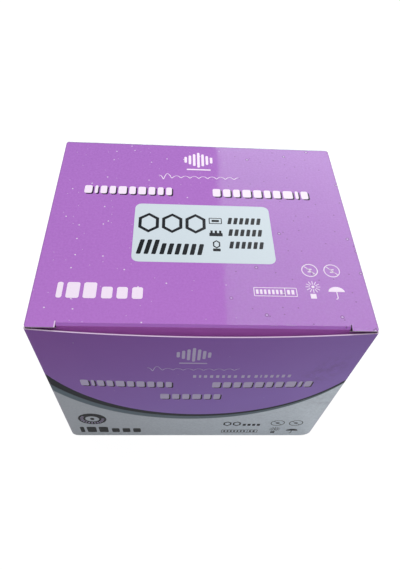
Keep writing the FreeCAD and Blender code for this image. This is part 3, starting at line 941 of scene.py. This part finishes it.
def addLabelInk(shapes, sign=5.4):
    # large hexagons, leaning bars, small signs and rows of marks
    for centre in (-20.9, -11.7, -2.5):
        addHexagon(shapes, centre, -0.2, 8, 10.8, 1.25)
    for number in range(9):
        tall = 7.4 if number < 3 else 5.6
        shapes.block(-23.5 + number * 2.84, -16.7 + tall / 2, 1.7, tall, 0.4, 0.2)
    shapes.frame(sign, 1.6, 5.2, 3.3, 0.3, 0.35)
    for offset in (-1.7, 0, 1.7):
        shapes.block(sign + offset, -4.5, 0.9, 1.6, 0.1)
    for block in ((1.6, 3, 1.2, 0.3), (-5.9, 5.2, 1.7, 0.2), (-13.9, 2.9, 1.4, 0.3)):
        shapes.block(sign, *block)
    addHexagon(shapes, sign, -11, 2.8, 4.2, 0.5)
    for row in (1.8, -4.6, -11.2):
        for number in range(6):
            shapes.block(11.2 + number * 2.31, row, 1.45, 3.6, 0.3, 0.2)


def addPanelPrint(sizes, light, shade, other, otherInk, upright):
    # what the lid and the front both show
    for heading in sizes["headings"]:
        addWord(shade, *heading)
        addWord(light, *heading)
    addOrnament(light, *sizes["ornament"])
    addFlourish(light, *sizes["flourish"])
    addCount(other, *sizes["count"])
    addSymbols(other, sizes["symbols"], otherInk, upright)
    addBox(other, *sizes["box"])


def makeLidPrintPieces():
    light, dark = Print(onLid, inkLift["high"]), Print(onLid, inkLift["high"])
    ground, shade = Print(onLid, inkLift["ground"]), Print(onLid, inkLift["low"], inkLift["shade"])
    addPanelPrint(lidPrintSizes, light, shade, light, inkWhite, False)
    ground.block(*lidPrintSizes["label"])
    addLabelInk(dark)
    return [light.toPiece("lidPrintLight", inkWhite), shade.toPiece("lidPrintShade", inkShade),
            ground.toPiece("lidLabel", labelGround), dark.toPiece("lidLabelInk", inkDark)]


def makeFrontPrintPieces():
    light, dark = Print(onFront, inkLift["high"]), Print(onFront, inkLift["low"])
    shade = Print(onFront, inkLift["low"], inkLift["shade"])
    addPanelPrint(frontPrintSizes, light, shade, dark, inkDark, True)
    addWord(light, "small", *frontPrintSizes["line"], 0.35, 0.7, 0.2)
    across, up, radius, innerRadius = frontPrintSizes["seal"]
    dark.frame(across, up, 2 * radius, 2 * radius, radius, radius - innerRadius, segments=8)
    dark.block(across, up, 1.8, 2.6, 0.9)
    addMarks(light, (across, up), (radius + innerRadius) / 2, 22, (1.3, 0.5), inkSilver, True)
    left, middle = frontPrintSizes["marks"]
    for number in range(2):
        addHexagon(dark, left + 1.8 + number * 4.6, middle, 3.8, 5.4, 0.7)
    for number in range(4):
        dark.block(left + 10.2 + number * 2.3, middle - 1.3, 1.5, 2.4, 0.3)
    return [light.toPiece("frontPrintLight", inkSilver), shade.toPiece("frontPrintShade", inkShade),
            dark.toPiece("frontPrintDark", inkDark)]


lidPrints = makeLidPrintPieces()
frontPrints = makeFrontPrintPieces()
print("print laid on the lid and the front")


# needle packs: one small shape of each kind, repeated through lanes, rows and layers

pack = {
    "lanes": 2, "rows": 5, "layers": 10,
    "pitch": (58.7, 19, 9), "first": (-29.35, -36.6, 1), "slack": (0.12, 0.03, 0), "seed": 7,
    "size": (58.5, 18.8), "paper": 0.15, "film": 0.25,
    "pocket": (40, 9.4), "pocketHeight": 8.5, "draft": 0.5,
    "needleStart": -18.5, "needleHeight": 4.15,
    # (along, radius) of the turned pieces, from the needle's collar on
    "hub": [(8.5, 0), (8.5, 1.85), (0, 2.1), (0, 3.85), (2, 3.85), (2, 3.05), (10, 2.6), (10, 2.1),
            (16, 1.65), (16, 0)],
    "sheath": [(36, 0), (36, 1.85), (10.1, 2.35), (10.1, 3), (11.5, 2.95), (36.2, 2.5), (37, 1.9),
               (37, 0)],
    "cannula": [(15.9, 0), (15.9, 0.12), (28.2, 0.12), (29, 0)],
}


def ringOf(mesh, size, grown, height, cut):
    # eight points round a rectangle that is grown on each side and has its corners cut
    x, y = size[0] / 2 + grown, size[1] / 2 + grown
    spots = [(x - cut, -y), (x, cut - y), (x, y - cut), (x - cut, y),
             (cut - x, y), (-x, y - cut), (-x, cut - y), (cut - x, -y)]
    return [vertex(mesh, (*spot, height)) for spot in spots]


def makePaperShape():
    mesh = bmesh.new()
    capped(mesh, [ringOf(mesh, pack["size"], 0, height, 0.6) for height in (0, pack["paper"] - 0.005)])
    return mesh


def makeFilmShape():
    # the pocket's inside from its top down, then the rim and the outside
    mesh = bmesh.new()
    size, pocket, draft, film = pack["size"], pack["pocket"], pack["draft"], pack["film"]
    low, rim, top = pack["paper"], pack["paper"] + film, pack["paper"] + pack["pocketHeight"]
    capped(mesh, [ringOf(mesh, *ring) for ring in (
        (pocket, -draft, top, 1.2), (pocket, 0, low, 1.4), (size, 0, low, 0.6), (size, 0, rim, 0.6),
        (pocket, film + 0.2, rim, 1.6), (pocket, film - draft + 0.1, top - 0.5, 1.4),
        (pocket, film - draft - 0.4, top + film, 1.2))])
    bmesh.ops.recalc_face_normals(mesh, faces=mesh.faces)
    return mesh


def turnedShape(profile, count):
    # a closed shape turned round the needle's axis, where its profile starts and ends
    mesh = bmesh.new()
    rings = [[vertex(mesh, (pack["needleStart"] + along, radius * cos, pack["needleHeight"] + radius * sin))
              for cos, sin in circle(count if radius else 1)] for along, radius in profile]
    for low, high in zip(rings, rings[1:]):
        for number in range(count):
            following = (number + 1) % count
            corners = [low[number % len(low)], low[following % len(low)],
                       high[following % len(high)], high[number % len(high)]]
            mesh.faces.new([corner for place, corner in enumerate(corners) if corner not in corners[:place]])
    bmesh.ops.recalc_face_normals(mesh, faces=mesh.faces)
    return mesh


def makePlastic(name, colour, alpha, roughness, waviness):
    return makeFinish(name, (dimmed(colour, 0.9), colour), (6, 2), (roughness, 0.06), (waviness, 1),
                      more={"Alpha": alpha})


def makeStack():
    # lanes x rows x layers copies of one shape, each moved a little by a seeded draw
    grower = Grower("packStack", {
        "Shape": "Object", "Lanes": "Int", "Rows": "Int", "Layers": "Int", "Pitch": "Vector",
        "First": "Vector", "Slack": "Vector", "Seed": "Int", "Finish": "Material"})
    start, given = grower.start, grower.start.beside
    lanes, rows, slack = given("Lanes"), given("Rows"), given("Slack")
    points = start.node("GeometryNodeMeshLine", {"Count": lanes * rows * given("Layers")})
    index = start.node("GeometryNodeInputIndex")
    lane = start.maths("FLOORED_MODULO", index, lanes)
    row = start.maths("FLOORED_MODULO", start.maths("FLOOR", (index + 0.5) / lanes), rows)
    layer = start.maths("FLOOR", (index + 0.5) / (lanes * rows))
    counts = start.node("ShaderNodeCombineXYZ", {0: lane, 1: row, 2: layer})
    spaced = start.node("ShaderNodeVectorMath", {0: counts, 1: given("Pitch"), 2: given("First")},
                        operation="MULTIPLY_ADD")
    less = start.node("ShaderNodeVectorMath", {0: slack, "Scale": -1}, operation="SCALE")
    draw = start.node("FunctionNodeRandomValue", {"Min": less, "Max": slack, "Seed": given("Seed")},
                      data_type="FLOAT_VECTOR")
    where = start.node("ShaderNodeVectorMath", {0: spaced, 1: draw}, operation="ADD")
    placed = start.node("GeometryNodeSetPosition", {"Geometry": points, "Position": where})
    shape = start.node("GeometryNodeObjectInfo", {"Object": given("Shape")}, "Geometry")
    copies = start.node("GeometryNodeInstanceOnPoints", {"Points": placed, "Instance": shape})
    return grower.close(copies, given("Finish"))


stack = makeStack()


def stackPiece(name, shape, finish):
    source = newObject(name + "Shape", toMesh(shape, name + "Shape"))
    inputs = {"Shape": source, "Seed": pack["seed"], "Finish": finish}
    for count in ("lanes", "rows", "layers"):
        inputs[count.capitalize()] = pack[count]
    for size in ("pitch", "first", "slack"):
        inputs[size.capitalize()] = [side * mm for side in pack[size]]
    grown = stack.grow(inputs)
    bpy.data.objects.remove(source)
    grown.name = name
    return newPiece(name, grown, [finish], 35)


packPaper = makeFinish("packPaper", (paint(228, 230, 233), paint(242, 243, 245)), (0.5, 5, 0.7, 1),
                       (0.85, 0.08), (0.02, 0.6))
packFilm = makePlastic("packFilm", paint(238, 242, 245), 0.3, 0.08, 0.05)
hubPlastic = makePlastic("hubPlastic", paint(38, 122, 94), 1, 0.28, 0.01)
sheathPlastic = makePlastic("sheathPlastic", paint(232, 238, 241), 0.42, 0.1, 0.02)
needleSteel = makeFinish("needleSteel", [paint(206, 208, 212)] * 2, (0.3, 3), (0.2, 0.12),
                         more={"Metallic": 1})

packPieces = [(stackPiece(name, shape, finish), node, slot) for name, shape, finish, node, slot in (
    ("packPapers", makePaperShape(), packPaper, "backing_paper", "pack_paper"),
    ("packFilms", makeFilmShape(), packFilm, "film_pocket", "pack_film"),
    ("needleHubs", turnedShape(pack["hub"], 12), hubPlastic, "needle_hub", "hub_plastic"),
    ("needleSheaths", turnedShape(pack["sheath"], 10), sheathPlastic, "needle_sheath", "sheath_plastic"),
    ("cannulas", turnedShape(pack["cannula"], 6), needleSteel, "cannula", "needle_steel"))]
print("needle packs stacked:", sum(len(piece.data.polygons) for piece, node, slot in packPieces), "faces")


# lights, floor and background

studio = {
    "sheenCard": ((0.215, 0.52, 0.6), (0.27, 0.66), (0.215, 0.52, 0), 4),  # place, size, aim, power
    "fillCard": ((-0.15, 0.02, 0.9), (0.6, 0.6), (0, 0, 0.06), 3.3),
    "ambient": 0.2,
    "floorHeight": -0.02, "floorReach": 2500, "floorColour": 0.75,
    "floorGlow": 1.18, "floorWhite": 0.8,
    "floorGlossy": 0.4,  # share of the white that a gloss on the board picks up
}


def addCard(name):
    place, size, aim, power = studio[name]
    data = bpy.data.lights.new(name, "AREA")
    data.shape = "RECTANGLE"
    data.size, data.size_y = size
    data.energy = power
    lamp = newObject(name, data)
    lamp.location = place
    lamp.rotation_euler = (Vector(aim) - Vector(place)).to_track_quat("-Z", "Y").to_euler()


def seenDirectly(start, glossyShare=1):
    # 1 for rays that show the background itself or its reflection
    direct = start.node("ShaderNodeLightPath", out="Is Camera Ray")
    through, glossy = direct.beside("Is Transmission Ray"), direct.beside("Is Glossy Ray")
    return (direct + through + glossy * glossyShare).clamped()


def makeFloor():
    reach, grey = studio["floorReach"], studio["floorColour"]
    skin = Skin()
    skin.grid([[((x, y, studio["floorHeight"]),) for x in (-reach, reach)] for y in (-reach, reach)])
    material = bpy.data.materials.new("paleFloor")
    start = emptyTree(material)
    cloth = start.node("ShaderNodeBsdfDiffuse", {"Color": (grey, grey, grey, 1)})
    white = start.node("ShaderNodeEmission", {"Color": (1, 1, 1, 1), "Strength": studio["floorGlow"]})
    shown = seenDirectly(start, studio["floorGlossy"]) * studio["floorWhite"]
    both = start.node("ShaderNodeMixShader", {0: shown, 1: cloth, 2: white})
    start.node("ShaderNodeOutputMaterial", {"Surface": both})
    newPiece("floor", toMesh(skin.mesh, "floor"), [material])


def makeBackground():
    world = bpy.data.worlds.new("studio")
    start = emptyTree(world)
    level = seenDirectly(start) * (1 - studio["ambient"]) + studio["ambient"]
    sky = start.node("ShaderNodeBackground", {"Color": (1, 1, 1, 1), "Strength": level})
    start.node("ShaderNodeOutputWorld", {"Surface": sky})
    bpy.context.scene.world = world


addCard("sheenCard")
addCard("fillCard")
makeBackground()
makeFloor()
print("studio lit")


# hand the pieces over

bpy.context.scene.view_settings.view_transform = "Standard"

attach(cartonBoard, "carton")
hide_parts("carton_body")
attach(lidBoard, "lid")
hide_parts("carton_lid")
for piece in lidPrints:
    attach(piece, "lid")
for piece in frontPrints:
    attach(piece, "carton")
for piece, node, slot in packPieces:
    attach(piece, "carton")
    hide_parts(*[f"{node}_layer_{layer + 1:02d}" for layer in range(pack["layers"])])
